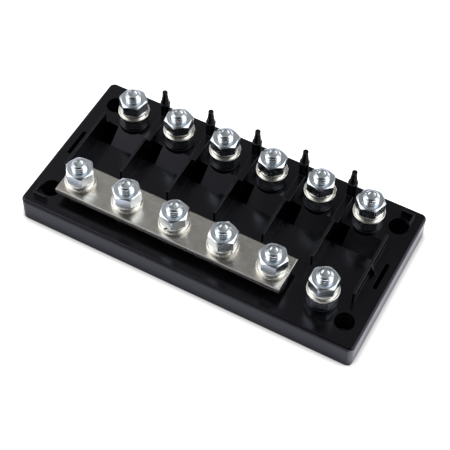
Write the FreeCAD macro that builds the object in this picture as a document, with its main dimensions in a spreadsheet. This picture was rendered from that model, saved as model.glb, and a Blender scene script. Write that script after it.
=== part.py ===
"""Six-way fuse holder for bolted high-current fuses.

A black moulded base carries two rows of M8 studs. A bar on moulded pillars joins five studs of the front
row, and the other studs have a seat nut each. A flat washer, a spring washer and a terminal nut lie above. X
runs along the rows, Y to the back row and Z up. The origin is the middle of the base's underside.
"""

import FreeCAD, Part
import os

import Sketcher

os.makedirs("parts", exist_ok=True)
doc = FreeCAD.newDocument("FuseHolder")

# Driving sizes in millimetres, and two counts
DRIVING_SIZES = {
    # Layout
    "positions": 6,
    "pitch": 26.25,
    "row_spacing": 51.0,
    "end_margin": 11.5,
    "side_margin": 18.5,
    # Moulded base
    "rim_height": 14.0,
    "corner_radius": 3.0,
    "edge_radius": 1.3,
    "line_height": 0.45,
    "line_depth": 0.3,
    "collar_diameter": 15.2,
    "collar_height": 2.0,
    # Fuse bays and the walls between them
    "bay_depth": 6.0,
    "bay_front": 19.0,
    "ramp_foot": 10.7,
    "ramp_head": 19.8,
    "wall_thickness": 1.2,
    "wall_rise": 7.3,
    "wall_front": 10.0,
    "wall_back": 14.3,
    "wall_notch": 0.7,
    "notch_place": 2.5,
    "end_wall_front": 19.5,
    "end_wall_back": 18.5,
    "well_width": 6.5,
    "well_back": 19.5,
    "well_depth": 11.0,
    "rib_width": 3.8,
    "rib_front": 15.2,
    "rib_rise": 5.0,
    "gusset_thickness": 1.5,
    "gusset_reach": 2.6,
    # Corner holes, cover slots and locating walls
    "hole_diameter": 10.0,
    "hole_end_inset": 10.25,
    "hole_side_inset": 13.0,
    "boss_diameter": 13.5,
    "cover_slot_width": 2.2,
    "cover_slot_length": 16.0,
    "cover_slot_inset": 4.6,
    "locator_arm": 7.0,
    "locator_thickness": 1.0,
    "locator_rise": 3.2,
    "locator_end_inset": 5.15,
    "locator_side_inset": 4.8,
    # Posts of the back row
    "post_inset": 9.3,
    "post_stem_width": 4.7,
    "post_web": 1.4,
    "post_stem_height": 12.8,
    "post_disc_diameter": 5.0,
    "post_disc_height": 1.0,
    "post_neck_diameter": 4.3,
    "post_taper_height": 5.7,
    "post_pin_diameter": 2.8,
    "post_pin_height": 2.0,
    # Cored underside
    "floor_thickness": 2.5,
    "outer_wall": 2.5,
    "core_rib": 1.8,
    "core_width": 7.0,
    "core_inset": 2.7,
    "back_core_front": 29.8,
    # Studs and their hardware
    "stud_diameter": 8.0,
    "stud_free_end": 3.7,
    "stud_chamfer": 1.25,
    "head_across": 13.0,
    "head_height": 5.3,
    "head_recess": 0.2,
    "nut_across": 13.0,
    "nut_height": 6.5,
    "washer_diameter": 16.0,
    "washer_thickness": 1.6,
    "spring_diameter": 14.0,
    "spring_thickness": 2.0,
    # Bar over the front row
    "bar_studs": 5,
    "bar_width": 20.0,
    "bar_thickness": 3.0,
    "bar_overhang": 8.5,
    "bar_edge_radius": 0.4,
    # Clearances, each on the radius or on one side
    "nut_clearance": 0.05,
    "washer_clearance": 0.2,
    "stud_clearance": 0.1,
    "head_clearance": 0.1,
    "bar_clearance": 0.3,
}

sizes = doc.addObject("Spreadsheet::Sheet", "sizes")
for row, (alias, number) in enumerate(DRIVING_SIZES.items(), start=1):
    sizes.set(f"A{row}", alias)
    sizes.set(f"B{row}", str(number))
    sizes.setAlias(f"B{row}", alias)
doc.recompute()

# Places that follow from the driving sizes, as expressions
HALF_LENGTH = "(sizes.positions * sizes.pitch / 2 + sizes.end_margin)"
HALF_WIDTH = "(sizes.row_spacing / 2 + sizes.side_margin)"
FIRST_WALL = "(-sizes.positions * sizes.pitch / 2)"
FIRST_STUD = "((1 - sizes.positions) * sizes.pitch / 2)"
BACK_ROW = "(sizes.row_spacing / 2)"
FRONT_ROW = "(-sizes.row_spacing / 2)"
RIM = "sizes.rim_height"
BAY_FLOOR = "(sizes.rim_height - sizes.bay_depth)"
RIDGE = "(sizes.rim_height + sizes.wall_rise)"
HALF_WALL = "(sizes.wall_thickness / 2)"
HEAD_TOP = "(sizes.head_recess + sizes.head_height)"
SEAT = "(sizes.rim_height + sizes.collar_height)"
FUSE_SEAT = f"({SEAT} + sizes.nut_height)"
WASHER_TOP = f"({FUSE_SEAT} + sizes.washer_thickness)"
SPRING_TOP = f"({WASHER_TOP} + sizes.spring_thickness)"
NUT_TOP = f"({SPRING_TOP} + sizes.nut_height)"
STUD_TOP = f"({NUT_TOP} + sizes.stud_free_end)"
HOLE_X = f"({HALF_LENGTH} - sizes.hole_end_inset)"
HOLE_Y = f"({HALF_WIDTH} - sizes.hole_side_inset)"
POST_Y = f"({HALF_WIDTH} - sizes.post_inset)"
BAR_SEAT = f"({FUSE_SEAT} - sizes.bar_thickness)"

# How far an outline runs past the material that it joins or cuts
OVERLAP = "0.5"
# Edge ends closer than this are level
LEVEL_LIMIT = 1e-6


def value(expression):
    """The number that an expression has now."""
    return float(sizes.evalExpression(expression))


POSITIONS = round(value("sizes.positions"))
BAR_STUDS = round(value("sizes.bar_studs"))


def stud_x(position):
    return f"({FIRST_STUD} + {position} * sizes.pitch)"


BACK_STATIONS = [(stud_x(i), BACK_ROW) for i in range(POSITIONS)]
FRONT_STATIONS = [(stud_x(i), FRONT_ROW) for i in range(POSITIONS)]
BAR_STATIONS = FRONT_STATIONS[:BAR_STUDS]
FREE_STATIONS = BACK_STATIONS + FRONT_STATIONS[BAR_STUDS:]
ALL_STATIONS = BACK_STATIONS + FRONT_STATIONS


def new_body(label):
    body = doc.addObject("PartDesign::Body", label)
    body.Label = label
    body.AllowCompound = True
    return body


def origin_feature(body, role):
    return {feature.Role: feature for feature in body.Origin.OriginFeatures}[role]


def new_sketch(body, name, plane="XY_Plane", lift="0"):
    """A sketch on one of the body's origin planes, raised along the plane's normal by lift."""
    sketch = body.newObject("Sketcher::SketchObject", name)
    sketch.AttachmentSupport = [(origin_feature(body, plane), "")]
    sketch.MapMode = "FlatFace"
    sketch.setExpression("AttachmentOffset.Base.z", lift)
    return sketch


def bind(sketch, kind, *place, size):
    """Adds a constraint of that kind whose size follows an expression."""
    row = sketch.addConstraint(Sketcher.Constraint(kind, *place, value(size)))
    sketch.setExpression(f"Constraints[{row}]", size)


def pin_point(sketch, geometry, point, x, y):
    bind(sketch, "DistanceX", -1, 1, geometry, point, size=x)
    bind(sketch, "DistanceY", -1, 1, geometry, point, size=y)


def draw_polygon(sketch, points):
    corners = [FreeCAD.Vector(value(x), value(y), 0) for x, y in points]
    count = len(points)
    first = sketch.GeometryCount
    for i in range(count):
        sketch.addGeometry(Part.LineSegment(corners[i], corners[(i + 1) % count]), False)
    for i in range(count):
        following = first + (i + 1) % count
        sketch.addConstraint(Sketcher.Constraint("Coincident", first + i, 2, following, 1))
        pin_point(sketch, first + i, 1, *points[i])


def draw_rectangle(sketch, left, right, front, back):
    draw_polygon(sketch, [(left, front), (right, front), (right, back), (left, back)])


def draw_circle(sketch, x, y, radius):
    centre = FreeCAD.Vector(value(x), value(y), 0)
    circle = Part.Circle(centre, FreeCAD.Vector(0, 0, 1), value(radius))
    index = sketch.addGeometry(circle, False)
    pin_point(sketch, index, 3, x, y)
    bind(sketch, "Radius", index, size=radius)


def draw_hexagon(sketch, x, y, across):
    """A hexagon with corners on the left and right, across the flats as given."""
    corner = f"{across} / sqrt(3)"
    points = [(f"{x} + {corner} * cos({angle} deg)", f"{y} + {corner} * sin({angle} deg)")
              for angle in range(0, 360, 60)]
    draw_polygon(sketch, points)


def pad(body, name, sketch, length, symmetric=False, reverse=False):
    feature = body.newObject("PartDesign::Pad", name)
    feature.Profile = sketch
    feature.setExpression("Length", length)
    feature.SideType = "Symmetric" if symmetric else "One side"
    feature.Reversed = reverse
    return finished(body, feature, adds=True)


def pocket(body, name, sketch, length, symmetric=False, upward=False):
    """Cuts from the sketch into the body: downward, or upward from a sketch below."""
    feature = body.newObject("PartDesign::Pocket", name)
    feature.Profile = sketch
    feature.setExpression("Length", length)
    feature.SideType = "Symmetric" if symmetric else "One side"
    feature.Reversed = upward
    return finished(body, feature, adds=False)


def finished(body, feature, adds):
    """Recomputes a feature and stops if it left the body's volume as it was."""
    before = feature.BaseFeature.Shape.Volume if feature.BaseFeature else 0.0
    doc.recompute()
    change = feature.Shape.Volume - before
    if (change <= 0.0) if adds else (change >= 0.0):
        raise RuntimeError(f"{body.Label}: {feature.Name} changed the volume by {change}")
    return feature


def row_pattern(body, name, features, step, count):
    """Repeats features along X, one step apart."""
    pattern = body.newObject("PartDesign::LinearPattern", name)
    pattern.Originals = features
    pattern.Direction = (origin_feature(body, "X_Axis"), [""])
    pattern.setExpression("Length", f"{step} * ({count} - 1)")
    pattern.setExpression("Occurrences", count)
    body.Tip = pattern
    doc.recompute()
    return pattern


def edges_at(feature, test):
    """Names of the feature's edges whose bounding box passes the test."""
    edges = enumerate(feature.Shape.Edges, start=1)
    return [f"Edge{index}" for index, edge in edges if test(edge.BoundBox)]


def edges_on_level(feature, level):
    height = value(level)
    return edges_at(feature, lambda box: max(abs(box.ZMin - height), abs(box.ZMax - height)) < LEVEL_LIMIT)


def revolve(body, name, kind, sketch):
    """A Revolution or Groove all round the sketch's vertical axis."""
    feature = body.newObject(f"PartDesign::{kind}", name)
    feature.Profile = sketch
    feature.ReferenceAxis = (sketch, ["V_Axis"])
    feature.Angle = 360
    return finished(body, feature, adds=kind == "Revolution")


def place(body, x, y, z):
    for axis, expression in zip("xyz", (x, y, z)):
        body.setExpression(f"Placement.Base.{axis}", expression)


# Moulded base

def base_block(body):
    """The block with rounded corners and top edge, and the fine line moulded under that edge."""
    outline = new_sketch(body, "block_outline")
    draw_rectangle(outline, f"-{HALF_LENGTH}", HALF_LENGTH, f"-{HALF_WIDTH}", HALF_WIDTH)
    block = pad(body, "block", outline, RIM)
    corners = body.newObject("PartDesign::Fillet", "block_corners")
    corners.Base = (block, edges_at(block, lambda box: box.ZLength > LEVEL_LIMIT))
    corners.setExpression("Radius", "sizes.corner_radius")
    doc.recompute()
    top_edge = body.newObject("PartDesign::Fillet", "block_top_edge")
    top_edge.Base = (corners, edges_on_level(corners, RIM))
    top_edge.setExpression("Radius", "sizes.edge_radius")
    doc.recompute()
    line = new_sketch(body, "line_outline", lift=f"{RIM} - sizes.edge_radius")
    draw_rectangle(line, f"-{HALF_LENGTH} - {OVERLAP}", f"{HALF_LENGTH} + {OVERLAP}",
                   f"-{HALF_WIDTH} - {OVERLAP}", f"{HALF_WIDTH} + {OVERLAP}")
    draw_rectangle(line, f"sizes.line_depth - {HALF_LENGTH}", f"{HALF_LENGTH} - sizes.line_depth",
                   f"sizes.line_depth - {HALF_WIDTH}", f"{HALF_WIDTH} - sizes.line_depth")
    pocket(body, "line_under_edge", line, "sizes.line_height")


def fuse_bays(body):
    """One trough along the base, with its floor rising to the rim at the back."""
    profile = new_sketch(body, "trough_profile", "YZ_Plane")
    draw_polygon(profile, [
        ("-sizes.bay_front", f"{RIM} + {OVERLAP}"),
        ("-sizes.bay_front", BAY_FLOOR),
        ("sizes.ramp_foot", BAY_FLOOR),
        ("sizes.ramp_head", RIM),
        ("sizes.ramp_head", f"{RIM} + {OVERLAP}"),
    ])
    pocket(body, "trough", profile, "sizes.positions * sizes.pitch", symmetric=True)


def bay_walls(body):
    """Low dividers across the trough, tall walls on them, and the longer walls at both ends."""
    low = new_sketch(body, "divider_outline")
    draw_rectangle(low, f"{FIRST_WALL} + sizes.pitch - {HALF_WALL}", f"{FIRST_WALL} + sizes.pitch + {HALF_WALL}",
                   f"-sizes.bay_front - {OVERLAP}", f"sizes.ramp_head + {OVERLAP}")
    divider = pad(body, "divider", low, RIM)
    tall = new_sketch(body, "wall_profile", "YZ_Plane", lift=f"{FIRST_WALL} + sizes.pitch")
    draw_polygon(tall, [
        ("-sizes.wall_front", BAY_FLOOR),
        ("sizes.wall_back", BAY_FLOOR),
        ("sizes.wall_back", RIDGE),
        ("sizes.notch_place + sizes.wall_notch", RIDGE),
        ("sizes.notch_place", f"{RIDGE} - sizes.wall_notch"),
        ("sizes.notch_place - sizes.wall_notch", RIDGE),
        ("-sizes.wall_front", RIDGE),
    ])
    wall = pad(body, "wall", tall, "sizes.wall_thickness", symmetric=True)
    row_pattern(body, "inner_walls", [divider, wall], "sizes.pitch", "(sizes.positions - 1)")
    ends = new_sketch(body, "end_wall_profile", "YZ_Plane", lift=FIRST_WALL)
    draw_rectangle(ends, "-sizes.end_wall_front", "sizes.end_wall_back", BAY_FLOOR, RIDGE)
    end_wall = pad(body, "end_wall", ends, "sizes.wall_thickness", symmetric=True)
    row_pattern(body, "end_walls", [end_wall], "sizes.positions * sizes.pitch", "2")
    brace = new_sketch(body, "gusset_profile", "XZ_Plane")
    for side in ("-", "+"):
        foot = f"({side}1) * (-{FIRST_WALL} + {HALF_WALL} + sizes.gusset_reach)"
        draw_polygon(brace, [
            (f"({side}1) * (-{FIRST_WALL})", f"{RIM} - {OVERLAP}"),
            (foot, f"{RIM} - {OVERLAP}"),
            (foot, RIM),
            (f"({side}1) * (-{FIRST_WALL})", RIDGE),
        ])
    pad(body, "gussets", brace, "sizes.gusset_thickness", symmetric=True)


def bay_wells(body):
    """The deep well at the left of each bay, and the rib that runs from each inner wall back to its post."""
    face = f"{FIRST_WALL} + {HALF_WALL}"
    well_sketch = new_sketch(body, "well_outline", lift=RIM)
    draw_rectangle(well_sketch, face, f"{face} + sizes.well_width", "sizes.ramp_foot", "sizes.well_back")
    well = pocket(body, "well", well_sketch, "sizes.well_depth")
    row_pattern(body, "wells", [well], "sizes.pitch", "sizes.positions")
    rib_sketch = new_sketch(body, "rib_outline", lift=f"{RIM} - sizes.well_depth")
    line = f"{FIRST_WALL} + sizes.pitch"
    draw_rectangle(rib_sketch, f"{line} - sizes.rib_width / 2", f"{line} + sizes.rib_width / 2",
                   "sizes.rib_front", f"{POST_Y} - sizes.post_stem_width / 2 + {OVERLAP}")
    rib = pad(body, "rib", rib_sketch, "sizes.well_depth + sizes.rib_rise")
    row_pattern(body, "ribs", [rib], "sizes.pitch", "(sizes.positions - 1)")


def base_bosses(body):
    """Bosses of the corner holes, collars under the stud hardware and the two locating walls."""
    bosses = new_sketch(body, "boss_outlines")
    for x in (f"-{HOLE_X}", HOLE_X):
        for y in (f"-{HOLE_Y}", HOLE_Y):
            draw_circle(bosses, x, y, "sizes.boss_diameter / 2")
    pad(body, "hole_bosses", bosses, RIM)
    collars = new_sketch(body, "collar_outlines", lift=f"{RIM} - {OVERLAP}")
    for x, y in FREE_STATIONS:
        draw_circle(collars, x, y, "sizes.collar_diameter / 2")
    pad(body, "collars", collars, f"{SEAT} - {RIM} + {OVERLAP}")
    pillars = new_sketch(body, "bar_pillar_outlines", lift=f"{RIM} - {OVERLAP}")
    for x, y in BAR_STATIONS:
        draw_circle(pillars, x, y, "sizes.collar_diameter / 2")
    pad(body, "bar_pillars", pillars, f"{BAR_SEAT} - {RIM} + {OVERLAP}")
    locators = new_sketch(body, "locator_outlines", lift=f"{RIM} - {OVERLAP}")
    for side in ("-", "+"):
        outer_x = f"({side}1) * ({HALF_LENGTH} - sizes.locator_end_inset)"
        outer_y = f"({side}1) * ({HALF_WIDTH} - sizes.locator_side_inset)"
        arm = f"({side}1) * sizes.locator_arm"
        leaf = f"({side}1) * sizes.locator_thickness"
        draw_polygon(locators, [
            (outer_x, outer_y),
            (f"{outer_x} - {arm}", outer_y),
            (f"{outer_x} - {arm}", f"{outer_y} - {leaf}"),
            (f"{outer_x} - {leaf}", f"{outer_y} - {leaf}"),
            (f"{outer_x} - {leaf}", f"{outer_y} - {arm}"),
            (outer_x, f"{outer_y} - {arm}"),
        ])
    pad(body, "locators", locators, f"sizes.locator_rise + {OVERLAP}")


def base_posts(body):
    """A row of posts behind the back row: a cross-shaped stem with a turned disc, taper and pin on it."""
    x = f"({FIRST_WALL} + sizes.pitch)"
    half = "sizes.post_stem_width / 2"
    web = "sizes.post_web / 2"
    stem_sketch = new_sketch(body, "post_stem_outline", lift=f"{RIM} - {OVERLAP}")
    draw_polygon(stem_sketch, [
        (f"{x} + {u}", f"{POST_Y} + {v}") for u, v in (
            (web, half), (f"-{web}", half), (f"-{web}", web), (f"-{half}", web),
            (f"-{half}", f"-{web}"), (f"-{web}", f"-{web}"), (f"-{web}", f"-{half}"), (web, f"-{half}"),
            (web, f"-{web}"), (half, f"-{web}"), (half, web), (web, web))
    ])
    stem = pad(body, "post_stem", stem_sketch, f"sizes.post_stem_height + {OVERLAP}")
    turned = new_sketch(body, "post_profile", "XZ_Plane", lift=f"-{POST_Y}")
    turned.setExpression("AttachmentOffset.Base.x", x)
    disc_foot = f"{RIM} + sizes.post_stem_height"
    disc_top = f"{disc_foot} + sizes.post_disc_height"
    taper_top = f"{disc_top} + sizes.post_taper_height"
    pin_top = f"{taper_top} + sizes.post_pin_height"
    draw_polygon(turned, [
        ("0", disc_foot),
        ("sizes.post_disc_diameter / 2", disc_foot),
        ("sizes.post_disc_diameter / 2", disc_top),
        ("sizes.post_neck_diameter / 2", disc_top),
        ("sizes.post_pin_diameter / 2", taper_top),
        ("sizes.post_pin_diameter / 2", pin_top),
        ("0", pin_top),
    ])
    top = revolve(body, "post_top", "Revolution", turned)
    row_pattern(body, "posts", [stem, top], "sizes.pitch", "(sizes.positions - 1)")


def base_openings(body):
    """Corner holes, cover slots and stud holes with their hexagon pockets."""
    holes = new_sketch(body, "hole_outlines")
    for x in (f"-{HOLE_X}", HOLE_X):
        for y in (f"-{HOLE_Y}", HOLE_Y):
            draw_circle(holes, x, y, "sizes.hole_diameter / 2")
    slot_outer = f"({HALF_LENGTH} - sizes.cover_slot_inset)"
    slot_inner = f"({slot_outer} - sizes.cover_slot_width)"
    half_slot = "sizes.cover_slot_length / 2"
    draw_rectangle(holes, f"-{slot_outer}", f"-{slot_inner}", f"-{half_slot}", half_slot)
    draw_rectangle(holes, slot_inner, slot_outer, f"-{half_slot}", half_slot)
    for x, y in ALL_STATIONS:
        draw_circle(holes, x, y, "sizes.stud_diameter / 2 + sizes.stud_clearance")
    pocket(body, "holes", holes, RIDGE, upward=True)
    heads = new_sketch(body, "head_outlines")
    for x, y in ALL_STATIONS:
        draw_hexagon(heads, x, y, "(sizes.head_across + 2 * sizes.head_clearance)")
    pocket(body, "head_pockets", heads, HEAD_TOP, upward=True)


def base_cores(body):
    """Cores moulded into the underside: two under each half bay, and one beside each stud."""
    x = f"({FIRST_WALL} + sizes.pitch / 4)"
    half = "(sizes.pitch / 4 - sizes.core_rib / 2)"
    front = "(sizes.core_inset - sizes.bay_front)"
    back = "(sizes.ramp_foot - sizes.core_inset)"
    middle = f"(({front} + {back}) / 2)"
    under_bays = new_sketch(body, "bay_core_outlines")
    draw_rectangle(under_bays, f"{x} - {half}", f"{x} + {half}", front, f"{middle} - sizes.core_rib / 2")
    draw_rectangle(under_bays, f"{x} - {half}", f"{x} + {half}", f"{middle} + sizes.core_rib / 2", back)
    bay_core = pocket(body, "bay_core", under_bays, f"{BAY_FLOOR} - sizes.floor_thickness", upward=True)
    row_pattern(body, "bay_cores", [bay_core], "sizes.pitch / 2", "2 * sizes.positions")
    x = f"({FIRST_WALL} + sizes.pitch)"
    between_studs = new_sketch(body, "edge_core_outlines")
    draw_rectangle(between_studs, f"{x} - sizes.core_width / 2", f"{x} + sizes.core_width / 2",
                   f"sizes.outer_wall - {HALF_WIDTH}", "-sizes.bay_front - sizes.outer_wall")
    draw_rectangle(between_studs, f"{x} - sizes.core_width / 2", f"{x} + sizes.core_width / 2",
                   "sizes.back_core_front", f"{HALF_WIDTH} - sizes.outer_wall")
    edge_core = pocket(body, "edge_core", between_studs, f"{RIM} - sizes.floor_thickness", upward=True)
    row_pattern(body, "edge_cores", [edge_core], "sizes.pitch", "(sizes.positions - 1)")


def make_base():
    body = new_body("base")
    base_block(body)
    fuse_bays(body)
    bay_walls(body)
    bay_wells(body)
    base_bosses(body)
    base_posts(body)
    base_openings(body)
    base_cores(body)
    return body


# Bar over the front row

def make_busbar():
    body = new_body("busbar")
    place(body, "0", FRONT_ROW, f"{FUSE_SEAT} - sizes.bar_thickness")
    outline = new_sketch(body, "bar_outline")
    draw_rectangle(outline, f"{stud_x(0)} - sizes.bar_overhang", f"{stud_x(BAR_STUDS - 1)} + sizes.bar_overhang",
                   "-sizes.bar_width / 2", "sizes.bar_width / 2")
    bar = pad(body, "bar", outline, "sizes.bar_thickness")
    edge = body.newObject("PartDesign::Fillet", "bar_edges")
    edge.Base = (bar, edges_on_level(bar, "sizes.bar_thickness"))
    edge.setExpression("Radius", "sizes.bar_edge_radius")
    doc.recompute()
    holes = new_sketch(body, "bar_holes")
    for x, _ in BAR_STATIONS:
        draw_circle(holes, x, "0", "sizes.stud_diameter / 2 + sizes.bar_clearance")
    pocket(body, "stud_holes", holes, "sizes.bar_thickness", upward=True)
    return body


# Studs and their hardware

def make_studs():
    """Twelve studs whose hexagon heads sit in the pockets of the underside."""
    body = new_body("terminal_studs")
    heads = new_sketch(body, "head_outlines", lift="sizes.head_recess")
    shanks = new_sketch(body, "shank_outlines", lift=HEAD_TOP)
    for x, y in ALL_STATIONS:
        draw_hexagon(heads, x, y, "sizes.head_across")
        draw_circle(shanks, x, y, "sizes.stud_diameter / 2")
    pad(body, "heads", heads, "sizes.head_height")
    shank = pad(body, "shanks", shanks, f"{STUD_TOP} - {HEAD_TOP}")
    ends = body.newObject("PartDesign::Chamfer", "stud_ends")
    ends.Base = (shank, edges_on_level(shank, STUD_TOP))
    ends.setExpression("Size", "sizes.stud_chamfer")
    doc.recompute()
    return body


def make_nut(label, x, y, z, turn):
    body = new_body(label)
    place(body, x, y, z)
    body.Placement.Rotation = FreeCAD.Rotation(FreeCAD.Vector(0, 0, 1), turn)
    hexagon = new_sketch(body, "hexagon")
    draw_hexagon(hexagon, "0", "0", "sizes.nut_across")
    draw_circle(hexagon, "0", "0", "sizes.stud_diameter / 2 + sizes.nut_clearance")
    pad(body, "blank", hexagon, "sizes.nut_height")
    return body


def make_seat_nuts():
    """The nuts under the fuse terminals, one group of separate solids."""
    nuts = [make_nut(f"seat_nut_{i + 1}", x, y, SEAT, SEAT_TURNS[i % len(SEAT_TURNS)])
            for i, (x, y) in enumerate(FREE_STATIONS)]
    group = doc.addObject("Part::Compound", "seat_nuts")
    group.Label = "seat_nuts"
    group.Links = nuts
    return group


def make_flat_washers():
    body = new_body("flat_washers")
    rings = new_sketch(body, "washer_rings", lift=FUSE_SEAT)
    for x, y in ALL_STATIONS:
        draw_circle(rings, x, y, "sizes.washer_diameter / 2")
        draw_circle(rings, x, y, "sizes.stud_diameter / 2 + sizes.washer_clearance")
    pad(body, "washers", rings, "sizes.washer_thickness")
    return body


def make_spring_washer(label, x, y):
    """A spring washer, pressed flat by its nut."""
    body = new_body(label)
    place(body, x, y, WASHER_TOP)
    ring = new_sketch(body, "ring")
    draw_circle(ring, "0", "0", "sizes.spring_diameter / 2")
    draw_circle(ring, "0", "0", "sizes.stud_diameter / 2 + sizes.washer_clearance")
    pad(body, "coil", ring, "sizes.spring_thickness")
    return body


# How far each nut was turned when it came tight, from the left along the back row, then the front row
BACK_TURNS = (17, 37, 38, 41, 48, 12)
FRONT_TURNS = (5, 15, 48, 37, 6, 32)
SEAT_TURNS = (25, 37, 39, 0, 56, 29, 15)

make_base()
make_busbar()
make_studs()
make_seat_nuts()
make_flat_washers()
for row_name, stations, turns in (("back", BACK_STATIONS, BACK_TURNS), ("front", FRONT_STATIONS, FRONT_TURNS)):
    for i, (x, y) in enumerate(stations):
        make_spring_washer(f"spring_washer_{row_name}_{i + 1}", x, y)
        make_nut(f"terminal_nut_{row_name}_{i + 1}", x, y, SPRING_TOP, turns[i % len(turns)])
doc.recompute()

# Each kept sub-part is a body that no group holds, or a group
grouped = {member for group in doc.findObjects("Part::Compound") for member in group.Links}
bodies = [body for body in doc.findObjects("PartDesign::Body") if body not in grouped]
sub_parts = bodies + doc.findObjects("Part::Compound")
for item in doc.Objects:
    if "Invalid" in item.State or "Error" in item.State:
        raise RuntimeError(f"{item.Name} failed: {item.State}")
for item in sub_parts:
    if item.Shape.isNull() or not item.Shape.isValid():
        raise RuntimeError(f"{item.Label} has no valid shape")
for item in sub_parts:
    item.Shape.exportStep(f"parts/{item.Label}.step")
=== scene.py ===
"""Looks of the fuse holder: black plastic, a plated bar, threaded studs, chamfered nuts and washers."""

import math

import bpy
import numpy as np
from mathutils import Matrix, Vector


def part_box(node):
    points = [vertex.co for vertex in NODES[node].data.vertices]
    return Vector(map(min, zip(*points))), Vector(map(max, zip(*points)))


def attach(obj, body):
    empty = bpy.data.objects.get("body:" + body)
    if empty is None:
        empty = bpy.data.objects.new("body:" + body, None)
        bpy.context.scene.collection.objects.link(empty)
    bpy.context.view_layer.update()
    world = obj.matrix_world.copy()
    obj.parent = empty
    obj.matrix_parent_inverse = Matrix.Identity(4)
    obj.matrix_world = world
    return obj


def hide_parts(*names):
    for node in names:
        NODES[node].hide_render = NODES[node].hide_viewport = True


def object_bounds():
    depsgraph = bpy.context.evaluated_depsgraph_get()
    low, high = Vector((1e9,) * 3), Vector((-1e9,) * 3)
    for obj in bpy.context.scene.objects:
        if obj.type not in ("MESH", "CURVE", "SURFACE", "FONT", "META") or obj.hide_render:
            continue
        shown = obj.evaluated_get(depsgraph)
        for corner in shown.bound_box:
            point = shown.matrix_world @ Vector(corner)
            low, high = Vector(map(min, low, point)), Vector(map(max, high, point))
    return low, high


MM = 0.001

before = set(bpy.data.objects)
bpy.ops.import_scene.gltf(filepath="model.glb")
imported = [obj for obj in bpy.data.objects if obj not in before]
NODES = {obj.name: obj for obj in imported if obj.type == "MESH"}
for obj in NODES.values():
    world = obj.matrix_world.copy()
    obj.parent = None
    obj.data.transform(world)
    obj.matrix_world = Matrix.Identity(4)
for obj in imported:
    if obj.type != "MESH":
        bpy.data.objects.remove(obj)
CAD_BOX = [list(corner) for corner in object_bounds()]
ROWS = ("back", "front")
POSITIONS = sum(name.startswith("terminal_nut_back") for name in NODES)
STATIONS = [f"{row}_{i + 1}" for row in ROWS for i in range(POSITIONS)]

# Camera, found from the stud ends, washers and corners in the photograph
CAMERA_AZIMUTH = 26.76
CAMERA_ELEVATION = 54.12
CAMERA_ROLL = 1.8
CAMERA_DISTANCE = 648.6 * MM
CAMERA_TARGET = Vector((1.15, -0.27, 0.0)) * MM
FOCAL_PIXELS = 1299.5
FRAME_PIXELS = 450
SENSOR_MM = 36.0
NEAREST = 0.01
FARTHEST = 20.0

# Fineness of the turned pieces
AROUND = 48
THREAD_ROWS = 7
ARC_STEPS = 4
SHARP_ANGLE = math.radians(20)

# M8 thread. A wave runs from 0 in the root to 1 on the crest, and the flank is the part that climbs.
THREAD_PITCH = 1.25 * MM
THREAD_CREST = 4.0 * MM
THREAD_ROOT = 3.37 * MM
THREAD_FIT = 0.06 * MM
FLANK_START = 0.25
FLANK_WIDTH = 0.6

# Nuts
NUT_ACROSS = 13.0 * MM
NUT_FACE_RADIUS = 6.05 * MM
NUT_CHAMFER = math.tan(math.radians(30))
NUT_MOUTH = 0.55 * MM
MOUTH_WIDTH = 0.15 * MM

# Studs. The rings of the hollow end are shares of its radius and of its depth.
HEAD_HEIGHT = 5.3 * MM
HEAD_EDGE = 0.3 * MM
HEAD_SEAT = 0.02 * MM
SHANK_TOP = 21.5 * MM
STUD_END_RADIUS = 2.65 * MM
END_HOLLOW = 0.3 * MM
END_RINGS = ((1.0, 0.0), (0.74, 0.0), (0.58, 0.6), (0.36, 0.9), (0.1, 1.0))
LAST_ROW = 0.2

# Washers, with the slit of the spring washers in radians
WASHER_BORE = 4.2 * MM
FLAT_EDGE = 0.35 * MM
SPRING_EDGE = 0.22 * MM
SLIT_GAP = math.radians(9)
SLIT_LEAN = math.radians(12)
SLIT_STEP = 1.35

# Plastic. Its edges are rounder above the rim, and pale colour is painted along them as a highlight.
RIM = 14.0 * MM
RIM_BAND = 1.0 * MM
WALL_EDGE = 0.6 * MM
LOW_EDGE = 0.15 * MM
EDGE_FULL = 0.78
EDGE_NONE = 0.97
PLASTIC_EDGE_HIGHLIGHT = (0.042, 0.042, 0.046)
PLASTIC_DARK = (0.0018, 0.0018, 0.0023)
PLASTIC_LIGHT = (0.0040, 0.0040, 0.0048)
PLASTIC_TINT = (0.84, 0.85, 1.0, 1.0)
PLASTIC_IOR = 1.43
PLASTIC_ROUGH = (0.15, 0.27)

# Metals
RADIUS = "turned_radius"
ZINC_LIGHT = (0.78, 0.83, 0.87)
ZINC_DARK = (0.69, 0.75, 0.80)
NICKEL_LIGHT = (0.93, 0.92, 0.87)
NICKEL_DARK = (0.84, 0.82, 0.77)
TIN_LIGHT = (0.60, 0.580, 0.540)
TIN_DARK = (0.50, 0.480, 0.440)
MARK_DEPTH = 0.006 * MM
MARK_DETAIL = 2.0

# Noise, most of which lies between a low and a high value, and rounded edges
NOISE_LOW = 0.3
NOISE_HIGH = 0.7
NOISE_ROUGHNESS = 0.55
BEVEL_SAMPLES = 8

# Floor, which glows in front of the holder and more to its right
FLOOR_SIZE = 6.0
FLOOR_DROP = 0.1 * MM
FLOOR_PALE = (0.9, 0.9, 0.9)
# Colour of the painted shadow under the holder and along its edges
FLOOR_SHADOW = (0.25, 0.25, 0.25)
FOOTPRINT_FADE = 1.5 * MM
CONTACT_REACH = 4.5 * MM
CONTACT_POWER = 1.6
FRONT_GLOW = 0.38
FRONT_GLOW_COLOUR = (0.72, 0.74, 1.0)
SIDE_GLOW = 1.25
SIDE_GLOW_COLOUR = (0.90, 0.90, 1.0)
SIDE_GLOW_FROM = 88 * MM
SIDE_GLOW_TO = 92 * MM

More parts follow.
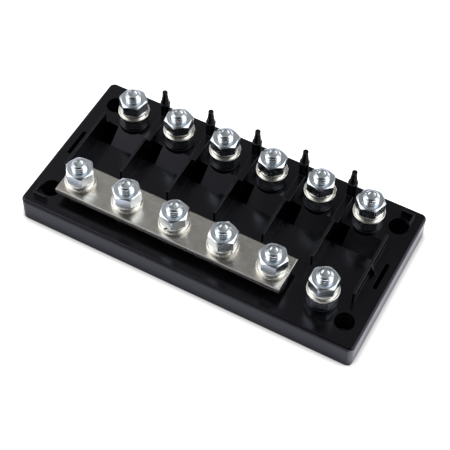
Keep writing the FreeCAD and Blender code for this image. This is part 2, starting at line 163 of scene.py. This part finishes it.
# Soft boxes: turn from +X, height, radius of the even part and of the whole, all in degrees, and
# strength. The last one is a dark panel. The room behind them fades from horizon to ceiling.
SOFT_BOXES = (
    (27, 42, 20, 36, 1.9),
    (195, 40, 18, 40, 1.7),
    (165, 45, 15, 46, 0.27),
    (-75, 56, 15, 50, -0.17),
)
CEILING = 0.175
HORIZON = 0.36
CEILING_FROM = 0.6
DARKEST = 0.02


def make_camera():
    azimuth = math.radians(CAMERA_AZIMUTH)
    elevation = math.radians(CAMERA_ELEVATION)
    roll = math.radians(CAMERA_ROLL)
    back = Vector((math.sin(azimuth) * math.cos(elevation),
                   -math.cos(azimuth) * math.cos(elevation),
                   math.sin(elevation)))
    right = Vector((math.cos(azimuth), math.sin(azimuth), 0.0))
    up = back.cross(right)
    turned_right = math.cos(roll) * right + math.sin(roll) * up
    turned_up = math.cos(roll) * up - math.sin(roll) * right
    camera = bpy.data.objects.new("camera", bpy.data.cameras.new("camera"))
    camera.data.sensor_width = SENSOR_MM
    camera.data.lens = FOCAL_PIXELS / FRAME_PIXELS * SENSOR_MM
    camera.data.clip_start = NEAREST
    camera.data.clip_end = FARTHEST
    axes = Matrix((turned_right, turned_up, back)).transposed()
    camera.matrix_world = Matrix.Translation(CAMERA_TARGET + CAMERA_DISTANCE * back) @ axes.to_4x4()
    bpy.context.scene.collection.objects.link(camera)
    bpy.context.scene.camera = camera


# Shader nodes

def map_range(tree, value, start, end, low, high, smooth=False):
    """Maps start..end of a value to low..high, straight or smoothly."""
    node = tree.nodes.new("ShaderNodeMapRange")
    node.interpolation_type = "SMOOTHSTEP" if smooth else "LINEAR"
    for name, number in (("From Min", start), ("From Max", end), ("To Min", low), ("To Max", high)):
        node.inputs[name].default_value = number
    tree.links.new(value, node.inputs["Value"])
    return node.outputs["Result"]


def spread(tree, value, low, high):
    """Maps the middle of a noise to low..high."""
    return map_range(tree, value, NOISE_LOW, NOISE_HIGH, low, high)


def link_math(tree, operation, first, second):
    """A Math node of two inputs, each an output or a number."""
    node = tree.nodes.new("ShaderNodeMath")
    node.operation = operation
    for socket, item in zip(node.inputs, (first, second)):
        if isinstance(item, (int, float)):
            socket.default_value = item
        else:
            tree.links.new(item, socket)
    return node.outputs["Value"]


def dot_product(tree, vector, other):
    """Dot product of an output with a fixed vector or another output."""
    node = tree.nodes.new("ShaderNodeVectorMath")
    node.operation = "DOT_PRODUCT"
    tree.links.new(vector, node.inputs[0])
    if isinstance(other, Vector):
        node.inputs[1].default_value = other
    else:
        tree.links.new(other, node.inputs[1])
    return node.outputs["Value"]


def mix_colours(tree, factor, first, second):
    """Goes from the first colour to the second, each a colour or an output."""
    node = tree.nodes.new("ShaderNodeMix")
    node.data_type = "RGBA"
    tree.links.new(factor, node.inputs["Factor"])
    for name, item in (("A", first), ("B", second)):
        if isinstance(item, tuple):
            node.inputs[name].default_value = (*item, 1)
        else:
            tree.links.new(item, node.inputs[name])
    return node.outputs["Result"]


def coordinates(tree, kind):
    """X, Y and Z of a kind of texture coordinate."""
    place = tree.nodes.new("ShaderNodeTexCoord")
    split = tree.nodes.new("ShaderNodeSeparateXYZ")
    tree.links.new(place.outputs[kind], split.inputs["Vector"])
    return split.outputs


def noise(tree, scale, detail, stretch=(1, 1, 1)):
    """Noise in object space, with scale in cycles a metre."""
    place = tree.nodes.new("ShaderNodeTexCoord")
    mapping = tree.nodes.new("ShaderNodeMapping")
    mapping.inputs["Scale"].default_value = stretch
    texture = tree.nodes.new("ShaderNodeTexNoise")
    texture.inputs["Scale"].default_value = scale
    texture.inputs["Detail"].default_value = detail
    texture.inputs["Roughness"].default_value = NOISE_ROUGHNESS
    tree.links.new(place.outputs["Object"], mapping.inputs["Vector"])
    tree.links.new(mapping.outputs["Vector"], texture.inputs["Vector"])
    return texture.outputs["Fac"]


def turning_marks(tree, scale):
    """Noise in rings round a turned piece's axis, from the radius stored in its mesh."""
    radius = tree.nodes.new("ShaderNodeAttribute")
    radius.attribute_name = RADIUS
    texture = tree.nodes.new("ShaderNodeTexNoise")
    texture.noise_dimensions = "1D"
    texture.inputs["Scale"].default_value = scale
    texture.inputs["Detail"].default_value = MARK_DETAIL
    tree.links.new(radius.outputs["Fac"], texture.inputs["W"])
    return texture.outputs["Fac"]


def bump(tree, height, distance, strength, under):
    """Bumped normals on top of the normals under them."""
    node = tree.nodes.new("ShaderNodeBump")
    node.inputs["Distance"].default_value = distance
    node.inputs["Strength"].default_value = strength
    tree.links.new(height, node.inputs["Height"])
    tree.links.new(under, node.inputs["Normal"])
    return node.outputs["Normal"]


def rounded_edges(tree, radius):
    """Normals that turn softly round every sharp edge, with the radius a number or an output."""
    node = tree.nodes.new("ShaderNodeBevel")
    node.samples = BEVEL_SAMPLES
    if isinstance(radius, float):
        node.inputs["Radius"].default_value = radius
    else:
        tree.links.new(radius, node.inputs["Radius"])
    return node.outputs["Normal"]


def edge_share(tree, edges):
    """1 where the rounded normals leave the surface's own, at the edges, else 0."""
    surface = tree.nodes.new("ShaderNodeNewGeometry")
    match = dot_product(tree, edges, surface.outputs["True Normal"])
    return map_range(tree, match, EDGE_FULL, EDGE_NONE, 1.0, 0.0)


# Materials

def new_material(name):
    """A material, its node tree and its Principled shader."""
    material = bpy.data.materials.new(name)
    material.use_nodes = True
    tree = material.node_tree
    return material, tree, tree.nodes["Principled BSDF"]


def plastic_material():
    """Black moulded plastic: a fine grain, slow waves and gloss, faint haze and a painted highlight
    along the edges.
    """
    material, tree, shader = new_material("moulded_plastic")
    height = coordinates(tree, "Object")["Z"]
    edges = rounded_edges(tree, map_range(tree, height, RIM, RIM + RIM_BAND, LOW_EDGE, WALL_EDGE))
    haze = spread(tree, noise(tree, scale=55, detail=4), 0, 1)
    black = mix_colours(tree, haze, PLASTIC_DARK, PLASTIC_LIGHT)
    # Painted highlight: pale colour along every edge, where the rounded normals turn away
    edge_highlight_paint = mix_colours(tree, edge_share(tree, edges), black, PLASTIC_EDGE_HIGHLIGHT)
    gloss = spread(tree, noise(tree, scale=90, detail=5), *PLASTIC_ROUGH)
    grain = bump(tree, noise(tree, scale=2600, detail=2), distance=0.01 * MM, strength=0.5, under=edges)
    waves = bump(tree, noise(tree, scale=70, detail=2), distance=0.2 * MM, strength=0.2, under=grain)
    tree.links.new(edge_highlight_paint, shader.inputs["Base Color"])
    tree.links.new(gloss, shader.inputs["Roughness"])
    tree.links.new(waves, shader.inputs["Normal"])
    shader.inputs["IOR"].default_value = PLASTIC_IOR
    shader.inputs["Specular Tint"].default_value = PLASTIC_TINT
    return material


def metal_material(name, light, dark, rough, edge, grain):
    """Plated metal with slowly changing colour and gloss, fine marks and soft edges."""
    material, tree, shader = new_material(name)
    shader.inputs["Metallic"].default_value = 1.0
    tone = spread(tree, noise(tree, scale=240, detail=3), 0, 1)
    marks = grain(tree)
    normals = bump(tree, marks, MARK_DEPTH, strength=0.5, under=rounded_edges(tree, edge))
    tree.links.new(mix_colours(tree, tone, dark, light), shader.inputs["Base Color"])
    tree.links.new(spread(tree, marks, *rough), shader.inputs["Roughness"])
    tree.links.new(normals, shader.inputs["Normal"])
    return material


PLASTIC = plastic_material()
ZINC = metal_material("zinc_plating", ZINC_LIGHT, ZINC_DARK, rough=(0.19, 0.28), edge=0.12 * MM,
                      grain=lambda tree: turning_marks(tree, 3000))
SEAT_ZINC = metal_material("zinc_seat_nut", ZINC_LIGHT, ZINC_DARK, rough=(0.28, 0.36), edge=0.12 * MM,
                           grain=lambda tree: turning_marks(tree, 3000))
NICKEL = metal_material("nickel_washer", NICKEL_LIGHT, NICKEL_DARK, rough=(0.20, 0.30), edge=0.10 * MM,
                        grain=lambda tree: turning_marks(tree, 4000))
TIN = metal_material("plated_bar", TIN_LIGHT, TIN_DARK, rough=(0.24, 0.34), edge=0.3 * MM,
                     grain=lambda tree: noise(tree, scale=700, detail=3, stretch=(0.06, 1, 1)))


# Meshes

def ring_mesh(name, rings, closed, material):
    """A mesh through rings of points. Closed joins the last ring to the first.
    Otherwise both ends are capped.
    """
    rings = np.asarray(rings, float)
    count, around, _ = rings.shape
    index = np.arange(count * around).reshape(count, around)
    lower = index if closed else index[:-1]
    upper = np.roll(index, -1, axis=0) if closed else index[1:]
    quads = np.stack([lower, np.roll(lower, -1, 1), np.roll(upper, -1, 1), upper], -1)
    faces = quads.reshape(-1, 4).tolist()
    if not closed:
        faces += [index[0][::-1].tolist(), index[-1].tolist()]
    mesh = bpy.data.meshes.new(name)
    mesh.from_pydata(rings.reshape(-1, 3).tolist(), [], faces)
    mesh.update()
    radius = mesh.attributes.new(RADIUS, "FLOAT", "POINT")
    radius.data.foreach_set("value", np.hypot(rings[..., 0], rings[..., 1]).ravel())
    mesh.polygons.foreach_set("use_smooth", [True] * len(mesh.polygons))
    mesh.set_sharp_from_angle(angle=SHARP_ANGLE)
    mesh.materials.append(material)
    return mesh


def angles():
    return np.arange(AROUND) * 2 * math.pi / AROUND


def circle_ring(radius, height):
    """One ring, with the radius a number or one number for each angle."""
    theta = angles()
    radius = np.broadcast_to(radius, theta.shape)
    height = np.broadcast_to(height, theta.shape)
    return np.stack([radius * np.cos(theta), radius * np.sin(theta), height], 1)


def hexagon_radius(across, turn=0.0):
    """Distance to the flats of a hexagon with a corner at angle turn."""
    theta = angles() - turn
    return across / 2 / np.cos((theta % (math.pi / 3)) - math.pi / 6)


def thread_radius(height):
    """A right-hand M8 thread at one height, for each angle."""
    phase = (height / THREAD_PITCH - angles() / (2 * math.pi)) % 1.0
    wave = np.abs(2 * phase - 1)
    climb = np.clip((wave - FLANK_START) / FLANK_WIDTH, 0, 1)
    return THREAD_ROOT + (THREAD_CREST - THREAD_ROOT) * climb


def rounded_profile(inner, outer, low, high, edge):
    """Corner points of a ring's section with its four edges rounded."""
    corners = (
        (outer - edge, low + edge, -90),
        (outer - edge, high - edge, 0),
        (inner + edge, high - edge, 90),
        (inner + edge, low + edge, 180),
    )
    points = []
    for cx, cz, start in corners:
        for step in range(ARC_STEPS):
            angle = math.radians(start + 90 / (ARC_STEPS - 1) * step)
            points.append((cx + edge * math.cos(angle), cz + edge * math.sin(angle)))
    return points


def nut_mesh(name, height, turn, material, bore_phase=None):
    """A chamfered hexagon nut from z 0 to its height, with a thread if its bore has a phase."""
    reach = hexagon_radius(NUT_ACROSS, turn)
    drop = np.maximum(0, reach - NUT_FACE_RADIUS) * NUT_CHAMFER
    bore = THREAD_CREST + THREAD_FIT
    rings = [
        circle_ring(bore + MOUTH_WIDTH, 0.0),
        circle_ring(NUT_FACE_RADIUS, 0.0),
        circle_ring(reach, drop),
        circle_ring(reach, height - drop),
        circle_ring(NUT_FACE_RADIUS, height),
        circle_ring(bore + MOUTH_WIDTH, height),
    ]
    for z in np.arange(height - NUT_MOUTH, NUT_MOUTH, -THREAD_PITCH / THREAD_ROWS):
        radius = bore if bore_phase is None else thread_radius(z + bore_phase) + THREAD_FIT
        rings.append(circle_ring(radius, z))
    return ring_mesh(name, rings, closed=True, material=material)


def washer_mesh(name, inner, outer, height, edge, material):
    profile = rounded_profile(inner, outer, 0.0, height, edge)
    rings = [circle_ring(radius, z) for radius, z in profile]
    return ring_mesh(name, rings, closed=True, material=material)


def spring_washer_mesh(name, outer, height, slit_turn):
    """A spring washer: a turn of square wire whose ends meet at a narrow leaning gap."""
    profile = rounded_profile(WASHER_BORE, outer, 0.0, height, SPRING_EDGE)
    rings = []
    for step in range(AROUND + 1):
        share = step / AROUND
        ring = []
        for radius, z in profile:
            tilt = SLIT_LEAN * (z / height - 0.5)
            angle = slit_turn + SLIT_GAP / 2 + (2 * math.pi - SLIT_GAP) * share + tilt
            ring.append((radius * math.cos(angle), radius * math.sin(angle), z))
        rings.append(ring)
    return ring_mesh(name, rings, closed=False, material=NICKEL)


def stud_mesh(name, bottom, top):
    """A stud in its own frame: hexagon head, plain shank, rolled thread and hollow end."""
    head = hexagon_radius(NUT_ACROSS)
    rings = [
        circle_ring(head - 3 * HEAD_EDGE, bottom),
        circle_ring(head, bottom + HEAD_EDGE),
        circle_ring(head, bottom + HEAD_HEIGHT - HEAD_SEAT),
        circle_ring(THREAD_CREST, bottom + HEAD_HEIGHT),
        circle_ring(THREAD_CREST, SHANK_TOP),
    ]
    step = THREAD_PITCH / THREAD_ROWS
    for z in np.arange(SHANK_TOP + step, top - LAST_ROW * step, step):
        chamfer = STUD_END_RADIUS + (top - z)
        rings.append(circle_ring(np.minimum(thread_radius(z), chamfer), z))
    for share, depth in END_RINGS:
        rings.append(circle_ring(STUD_END_RADIUS * share, top - END_HOLLOW * depth))
    return ring_mesh(name, rings, closed=False, material=ZINC)


# Pieces

def add_piece(name, meshes, body, replaced):
    """One object from several meshes at their places, riding on a body and standing for a node."""
    target = bpy.data.objects.new(name, meshes[0][0])
    target.matrix_world = Matrix.Translation(meshes[0][1])
    bpy.context.scene.collection.objects.link(target)
    others = []
    for mesh, place in meshes[1:]:
        other = bpy.data.objects.new(name + "_part", mesh)
        other.matrix_world = Matrix.Translation(place)
        bpy.context.scene.collection.objects.link(other)
        others.append(other)
    if others:
        with bpy.context.temp_override(active_object=target, object=target,
                                       selected_editable_objects=[target] + others):
            bpy.ops.object.join()
    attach(target, body)
    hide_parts(replaced)


def middle(node):
    """Centre and the two corners of a node's box."""
    low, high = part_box(node)
    return (low + high) / 2, low, high


def station_centre(station):
    return middle(f"terminal_nut_{station}")[0]


def standing(centre, height):
    return Vector((centre.x, centre.y, height))


def over_bar(station):
    centre = station_centre(station)
    low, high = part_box("busbar")
    return low.x < centre.x < high.x and low.y < centre.y < high.y


def corner_turn(node, centre):
    """Angle of a corner of the hexagon nut at centre, from the node's solid."""
    points = np.array([v.co[:2] for v in NODES[node].data.vertices]) - np.array(centre[:2])
    reach = np.hypot(points[:, 0], points[:, 1])
    corner = points[np.argmax(np.where(reach < NUT_ACROSS, reach, 0))]
    return math.atan2(corner[1], corner[0])


def make_studs():
    low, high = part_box("terminal_studs")
    meshes = []
    for station in STATIONS:
        mesh = stud_mesh(f"stud_{station}", low.z, high.z)
        meshes.append((mesh, standing(station_centre(station), 0.0)))
    add_piece("threaded_studs", meshes, "holder", "terminal_studs")


def make_seat_nuts():
    low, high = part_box("seat_nuts")
    meshes = []
    for station in STATIONS:
        if over_bar(station):
            continue
        centre = station_centre(station)
        turn = corner_turn("seat_nuts", centre)
        mesh = nut_mesh(f"seat_{station}", high.z - low.z, turn, SEAT_ZINC)
        meshes.append((mesh, standing(centre, low.z)))
    add_piece("seat_nut_set", meshes, "holder", "seat_nuts")


def make_flat_washers():
    low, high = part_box("flat_washers")
    outer = high.x - station_centre(f"back_{POSITIONS}").x
    meshes = []
    for station in STATIONS:
        mesh = washer_mesh(f"flat_{station}", WASHER_BORE, outer, high.z - low.z, FLAT_EDGE, NICKEL)
        meshes.append((mesh, standing(station_centre(station), low.z)))
    add_piece("flat_washer_set", meshes, "holder", "flat_washers")


def make_spring_washers():
    for count, station in enumerate(STATIONS):
        node = f"spring_washer_{station}"
        centre, low, high = middle(node)
        mesh = spring_washer_mesh(node, (high.x - low.x) / 2, high.z - low.z, SLIT_STEP * count)
        place = standing(centre, low.z)
        add_piece(f"split_washer_{station}", [(mesh, place)], node, node)


def make_terminal_nuts():
    for station in STATIONS:
        node = f"terminal_nut_{station}"
        centre, low, high = middle(node)
        turn = corner_turn(node, centre)
        mesh = nut_mesh(node, high.z - low.z, turn, ZINC, bore_phase=low.z)
        place = standing(centre, low.z)
        add_piece(f"hexagon_nut_{station}", [(mesh, place)], node, node)


def dress_solid(node, material):
    piece = NODES[node]
    piece.data.materials.clear()
    piece.data.materials.append(material)


# Studio

def direction(turn, height):
    turn, height = math.radians(turn), math.radians(height)
    return Vector((math.cos(turn) * math.cos(height),
                   math.sin(turn) * math.cos(height),
                   math.sin(height)))


def beyond(tree, value, limit):
    """1 where a coordinate is outside the holder's footprint, else 0."""
    size = link_math(tree, "ABSOLUTE", value, 0.0)
    return map_range(tree, size, limit - FOOTPRINT_FADE, limit, 0.0, 1.0, smooth=True)


def make_floor():
    """A pale floor that the camera sees as white, with the holder's shadow where it touches."""
    height = CAD_BOX[0][2] - FLOOR_DROP
    bpy.ops.mesh.primitive_plane_add(size=FLOOR_SIZE, location=(0, 0, height))
    floor = bpy.context.object
    floor.name = "floor"
    material = bpy.data.materials.new("floor")
    material.use_nodes = True
    tree = material.node_tree
    tree.nodes.clear()
    output = tree.nodes.new("ShaderNodeOutputMaterial")
    diffuse = tree.nodes.new("ShaderNodeBsdfDiffuse")
    glow = tree.nodes.new("ShaderNodeEmission")
    both = tree.nodes.new("ShaderNodeAddShader")
    rays = tree.nodes.new("ShaderNodeLightPath")
    contact = tree.nodes.new("ShaderNodeAmbientOcclusion")
    contact.inputs["Distance"].default_value = CONTACT_REACH
    place = coordinates(tree, "Object")

    # Painted shadow: dark under the holder and where it touches the floor
    outside = link_math(tree, "MAXIMUM", beyond(tree, place["X"], CAD_BOX[1][0]),
                        beyond(tree, place["Y"], CAD_BOX[1][1]))
    near = link_math(tree, "POWER", contact.outputs["AO"], CONTACT_POWER)
    shade = link_math(tree, "MULTIPLY", outside, near)

    # White to the camera. Reflections get a bluish glow, stronger beside the holder.
    beside = map_range(tree, place["X"], SIDE_GLOW_FROM, SIDE_GLOW_TO, 0.0, 1.0, smooth=True)
    strength = map_range(tree, beside, 0.0, 1.0, FRONT_GLOW, SIDE_GLOW, smooth=True)
    for_gloss = link_math(tree, "MULTIPLY", rays.outputs["Is Glossy Ray"], strength)
    level = link_math(tree, "ADD", rays.outputs["Is Camera Ray"], for_gloss)
    tint = mix_colours(tree, beside, FRONT_GLOW_COLOUR, SIDE_GLOW_COLOUR)
    colour = mix_colours(tree, rays.outputs["Is Glossy Ray"], (1, 1, 1), tint)

    tree.links.new(link_math(tree, "MULTIPLY", level, shade), glow.inputs["Strength"])
    tree.links.new(colour, glow.inputs["Color"])
    tree.links.new(mix_colours(tree, shade, FLOOR_SHADOW, FLOOR_PALE), diffuse.inputs["Color"])
    tree.links.new(diffuse.outputs["BSDF"], both.inputs[0])
    tree.links.new(glow.outputs["Emission"], both.inputs[1])
    tree.links.new(both.outputs["Shader"], output.inputs["Surface"])
    floor.data.materials.append(material)


def make_world():
    """White to the camera. To everything else it is a dim room with soft boxes and a dark panel."""
    world = bpy.data.worlds.new("studio")
    bpy.context.scene.world = world
    world.use_nodes = True
    tree = world.node_tree
    tree.nodes.clear()
    output = tree.nodes.new("ShaderNodeOutputWorld")
    room = tree.nodes.new("ShaderNodeBackground")
    white = tree.nodes.new("ShaderNodeBackground")
    for background in (room, white):
        background.inputs["Color"].default_value = (1, 1, 1, 1)
    mix = tree.nodes.new("ShaderNodeMixShader")
    rays = tree.nodes.new("ShaderNodeLightPath")
    place = tree.nodes.new("ShaderNodeTexCoord")
    upward = coordinates(tree, "Generated")["Z"]
    level = map_range(tree, upward, 0.0, CEILING_FROM, HORIZON, CEILING, smooth=True)
    for turn, height, even, whole, strength in SOFT_BOXES:
        match = dot_product(tree, place.outputs["Generated"], direction(turn, height))
        rim, core = math.cos(math.radians(whole)), math.cos(math.radians(even))
        spot = map_range(tree, match, rim, core, 0.0, strength, smooth=True)
        level = link_math(tree, "ADD", level, spot)
    tree.links.new(link_math(tree, "MAXIMUM", level, DARKEST), room.inputs["Strength"])
    tree.links.new(rays.outputs["Is Camera Ray"], mix.inputs["Fac"])
    tree.links.new(room.outputs["Background"], mix.inputs[1])
    tree.links.new(white.outputs["Background"], mix.inputs[2])
    tree.links.new(mix.outputs["Shader"], output.inputs["Surface"])


bpy.context.scene.view_settings.view_transform = "Standard"
make_camera()
make_world()
make_floor()

dress_solid("base", PLASTIC)
dress_solid("busbar", TIN)
make_studs()
make_seat_nuts()
make_flat_washers()
make_spring_washers()
make_terminal_nuts()
